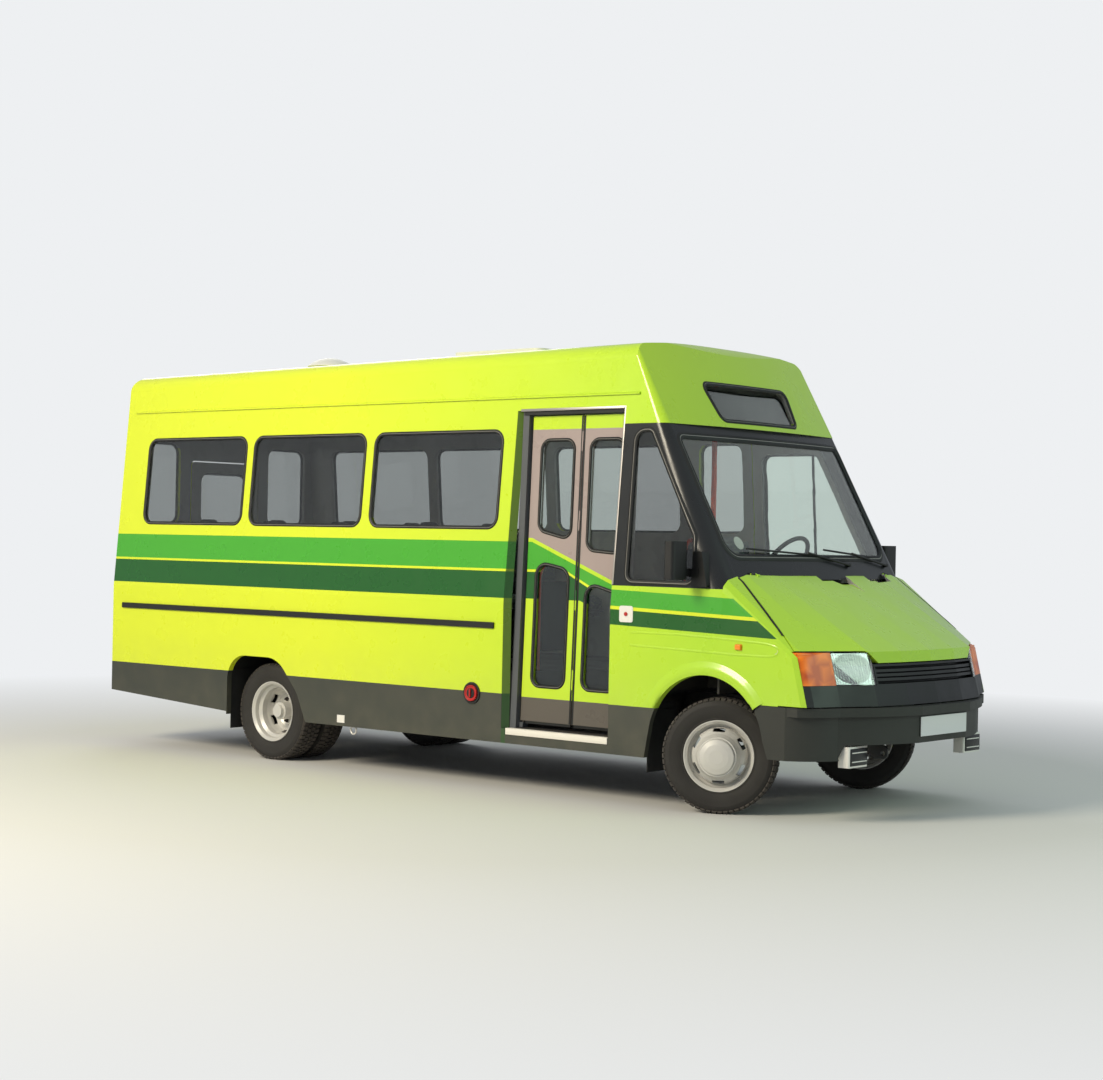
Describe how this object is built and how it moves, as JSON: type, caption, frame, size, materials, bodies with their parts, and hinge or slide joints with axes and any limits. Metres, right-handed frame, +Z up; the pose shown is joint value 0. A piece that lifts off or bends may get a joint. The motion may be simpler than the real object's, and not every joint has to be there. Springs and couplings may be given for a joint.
{
  "type": "minibus",
  "caption": "Coach-built minibus with a folding entrance door, moulded roof dome, lime-green body with green stripes and twin rear wheels.",
  "frame": {"origin": "on the ground, under the middle of the length and width", "axes": "+X to the nose, +Y to the vehicle's left, +Z up"},
  "size_m": [6.36, 2.4496, 2.8049],
  "materials": {
    "body_paint": "gloss lime green with green stripes",
    "skirt_paint": "satin dark grey",
    "door_paint": "satin grey and lime with stripes",
    "chassis": "satin black",
    "wheel_paint": "satin silver",
    "rail_paint": "gloss red",
    "seat_metal": "satin dark grey",
    "hub_iron": "dull",
    "engine_metal": "dull",
    "exhaust_steel": "dull",
    "aluminium_trim": "anodised",
    "bumper_plastic": "grained dark grey",
    "grille_plastic": "grained black",
    "mirror_plastic": "grained black",
    "cab_plastic": "grained black",
    "vent_plastic": "pale, weathered",
    "lamp_lens": "clear and amber ribbed lens",
    "rear_lens": "red and amber lens",
    "clear_glass": "clear",
    "tinted_glass": "lightly tinted",
    "floor_board": "studded floor covering",
    "seat_cloth": "woven cloth",
    "flap_rubber": "dull",
    "tyre_rubber": "road worn"
  },
  "bodies": {
    "body": {"chassis_frame": "chassis", "cross_members": "chassis", "tow_eyes": "chassis", "wheel_boxes": "floor_board", "entrance_steps": "floor_board", "cab_bulkhead": "floor_board", "driver_seat_frame": "seat_metal", "front_axle": "chassis", "leaf_springs": "chassis", "rear_axle": "chassis", "exhaust": "exhaust_steel", "fuel_tank": "skirt_paint", "engine": "engine_metal", "floor": "floor_board", "side_right": "body_paint", "side_left": "body_paint", "rear_wall": "body_paint", "roof": "body_paint", "front_dome": "body_paint", "cab_frame": "body_paint", "wings": "body_paint", "grille": "grille_plastic", "front_lamps": "lamp_lens", "front_bumper": "bumper_plastic", "rear_bumper": "bumper_plastic", "rear_lamps": "rear_lens", "front_glass": "clear_glass", "side_glass": "tinted_glass", "entrance_frame": "aluminium_trim", "seat_frames": "seat_metal", "seat_cushions": "seat_cloth", "dashboard": "cab_plastic", "steering_wheel": "cab_plastic", "handrails": "rail_paint", "mirror_right": "mirror_plastic", "wipers": "mirror_plastic", "mudflaps": "flap_rubber", "roof_vents": "vent_plastic"},
    "entrance_leaf_rear": {"door_leaf_rear": "door_paint", "door_glass_rear": "clear_glass"},
    "entrance_leaf_front": {"door_leaf_front": "door_paint", "door_glass_front": "clear_glass"},
    "driver_door": {"cab_door": "body_paint", "cab_door_glass": "clear_glass", "mirror_left": "mirror_plastic"},
    "back_door": {"rear_door": "body_paint", "rear_door_glass": "tinted_glass"},
    "bonnet_lid": {"bonnet": "body_paint"},
    "steer_right": {"knuckle_right": "hub_iron"},
    "steer_left": {"knuckle_left": "hub_iron"},
    "wheel_front_right": {"front_rim_right": "wheel_paint", "front_tyre_right": "tyre_rubber"},
    "wheel_front_left": {"front_rim_left": "wheel_paint", "front_tyre_left": "tyre_rubber"},
    "wheels_rear_right": {"rear_rims_right": "wheel_paint", "rear_tyres_right": "tyre_rubber"},
    "wheels_rear_left": {"rear_rims_left": "wheel_paint", "rear_tyres_left": "tyre_rubber"}
  },
  "joints": [
    {"name": "entrance_rear_hinge", "type": "hinge", "parent": "body", "child": "entrance_leaf_rear", "pos_m": [0.765, -0.87378, 1.35993], "axis": [0, 0.039, 0.9992], "range_deg": [0, 85]},
    {"name": "entrance_seam_hinge", "type": "hinge", "parent": "entrance_leaf_rear", "child": "entrance_leaf_front", "pos_m": [1.171, -0.91275, 1.36145], "axis": [0, 0.039, 0.9992], "range_deg": [-170, 0]},
    {"name": "driver_door_hinge", "type": "hinge", "parent": "body", "child": "driver_door", "pos_m": [2.147, 1.011, 1.1], "axis": [0, 0, -1], "range_deg": [0, 70]},
    {"name": "back_door_hinge", "type": "hinge", "parent": "body", "child": "back_door", "pos_m": [-3.138, 0.335, 1.4], "axis": [0, 0, -1], "range_deg": [0, 105]},
    {"name": "bonnet_hinge", "type": "hinge", "parent": "body", "child": "bonnet_lid", "pos_m": [2.319, 0, 1.366], "axis": [0, -1, 0], "range_deg": [0, 48]},
    {"name": "kingpin_left", "type": "hinge", "parent": "body", "child": "steer_left", "pos_m": [2.157, 0.74, 0.33], "axis": [0, 0, 1], "range_deg": [-59.9, 10.1]},
    {"name": "kingpin_right", "type": "hinge", "parent": "body", "child": "steer_right", "pos_m": [2.157, -0.74, 0.33], "axis": [0, 0, 1], "range_deg": [-59.9, 10.1]},
    {"name": "spin_front_left", "type": "hinge", "parent": "steer_left", "child": "wheel_front_left", "pos_m": [2.10963, 0.84204, 0.33], "axis": [-0.421, 0.907, 0], "continuous": true},
    {"name": "spin_front_right", "type": "hinge", "parent": "steer_right", "child": "wheel_front_right", "pos_m": [2.20437, -0.84204, 0.33], "axis": [-0.421, 0.907, 0], "continuous": true},
    {"name": "spin_rear_left", "type": "hinge", "parent": "body", "child": "wheels_rear_left", "pos_m": [-1.49, 0.745, 0.33], "axis": [0, 1, 0], "continuous": true},
    {"name": "spin_rear_right", "type": "hinge", "parent": "body", "child": "wheels_rear_right", "pos_m": [-1.49, -0.745, 0.33], "axis": [0, 1, 0], "continuous": true}
  ],
  "couplings": [
    {"joint": "entrance_seam_hinge", "follows": "entrance_rear_hinge", "ratio": -2},
    {"joint": "kingpin_right", "follows": "kingpin_left", "ratio": 1}
  ]
}
